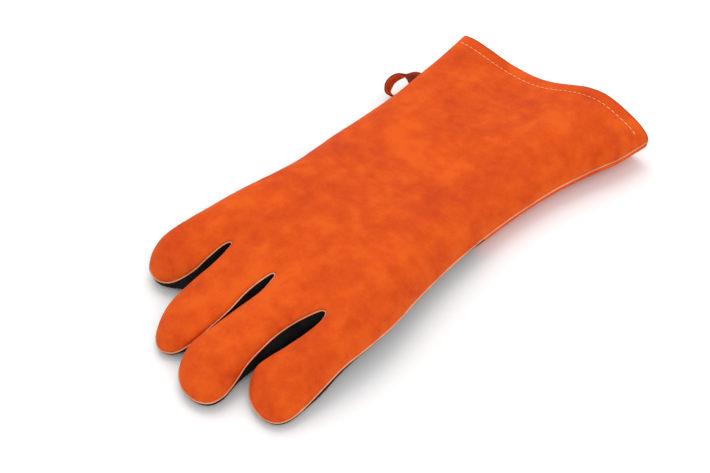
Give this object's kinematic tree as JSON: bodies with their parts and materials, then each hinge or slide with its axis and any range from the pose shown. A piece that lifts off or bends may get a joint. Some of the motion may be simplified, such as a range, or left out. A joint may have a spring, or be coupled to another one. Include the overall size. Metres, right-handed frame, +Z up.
{
  "type": "heat resistant glove",
  "caption": "Long gauntlet glove for the right hand, orange suede back and cuff, black palm, lined, with a hanging strap at the cuff.",
  "frame": {"origin": "On the ground, under the middle of the glove's box as it lies on its palm, hanging loop included.", "axes": "+Z up through the back of the hand, -Y to the fingertips, +Y out of the cuff, +X to the thumb and index finger side."},
  "size_m": [0.207, 0.3836, 0.0436],
  "materials": {
    "orange_suede": "split cowhide suede, bright orange, short matt nap",
    "black_suede": "split cowhide suede, black, short matt nap",
    "welt_leather": "thin pale leather strip rolled into the seam",
    "hem_leather": "orange suede turned in and stitched, flesh side out",
    "strap_leather": "orange suede strap, dark red flesh side inside",
    "fleece": "natural cotton fleece, brushed inside",
    "canvas": "natural cotton canvas, plain weave"
  },
  "bodies": {
    "cuff": {"cuff_back": "orange_suede", "cuff_front": "orange_suede", "cuff_hem": "hem_leather", "cuff_lining": "canvas", "cuff_welt_thumb_side": "welt_leather", "cuff_welt_little_side": "welt_leather"},
    "hand": {"hand_back": "orange_suede", "palm": "black_suede", "hand_lining": "fleece", "hand_welt": "welt_leather"},
    "index": {"index_back": "orange_suede", "index_palm": "black_suede", "index_lining": "fleece", "index_welt": "welt_leather"},
    "middle": {"middle_back": "orange_suede", "middle_palm": "black_suede", "middle_lining": "fleece", "middle_welt": "welt_leather"},
    "ring": {"ring_back": "orange_suede", "ring_palm": "black_suede", "ring_lining": "fleece", "ring_welt": "welt_leather"},
    "little": {"little_back": "orange_suede", "little_palm": "black_suede", "little_lining": "fleece", "little_welt": "welt_leather"},
    "thumb": {"thumb_front": "black_suede", "thumb_back": "black_suede", "thumb_lining": "fleece", "thumb_welt": "welt_leather"},
    "loop": {"hanging_loop": "strap_leather"}
  },
  "joints": [
    {"name": "wrist_bend", "type": "hinge", "parent": "cuff", "child": "hand", "pos_m": [0.01885, 0.0597, 0.017], "axis": [1, 0, 0], "range_deg": [-25, 35]},
    {"name": "index_flex", "type": "hinge", "parent": "hand", "child": "index", "pos_m": [0.07887, -0.1083, 0.02645], "axis": [1, 0.0087, 0], "range_deg": [0, 50]},
    {"name": "middle_flex", "type": "hinge", "parent": "hand", "child": "middle", "pos_m": [0.0368, -0.10827, 0.02645], "axis": [0.9981, -0.061, 0], "range_deg": [0, 50]},
    {"name": "ring_flex", "type": "hinge", "parent": "hand", "child": "ring", "pos_m": [-0.00469, -0.1083, 0.02645], "axis": [0.9998, -0.0175, 0], "range_deg": [0, 50]},
    {"name": "little_flex", "type": "hinge", "parent": "hand", "child": "little", "pos_m": [-0.04401, -0.10822, 0.02645], "axis": [0.9945, -0.1045, 0], "range_deg": [0, 50]},
    {"name": "thumb_swing", "type": "hinge", "parent": "hand", "child": "thumb", "pos_m": [0.06055, 0.0027, 0.0156], "axis": [0, 0, 1], "range_deg": [0, 60]},
    {"name": "loop_swing", "type": "hinge", "parent": "cuff", "child": "loop", "pos_m": [-0.06875, 0.1417, 0.014], "axis": [0, 1, 0], "range_deg": [0, 70]}
  ]
}
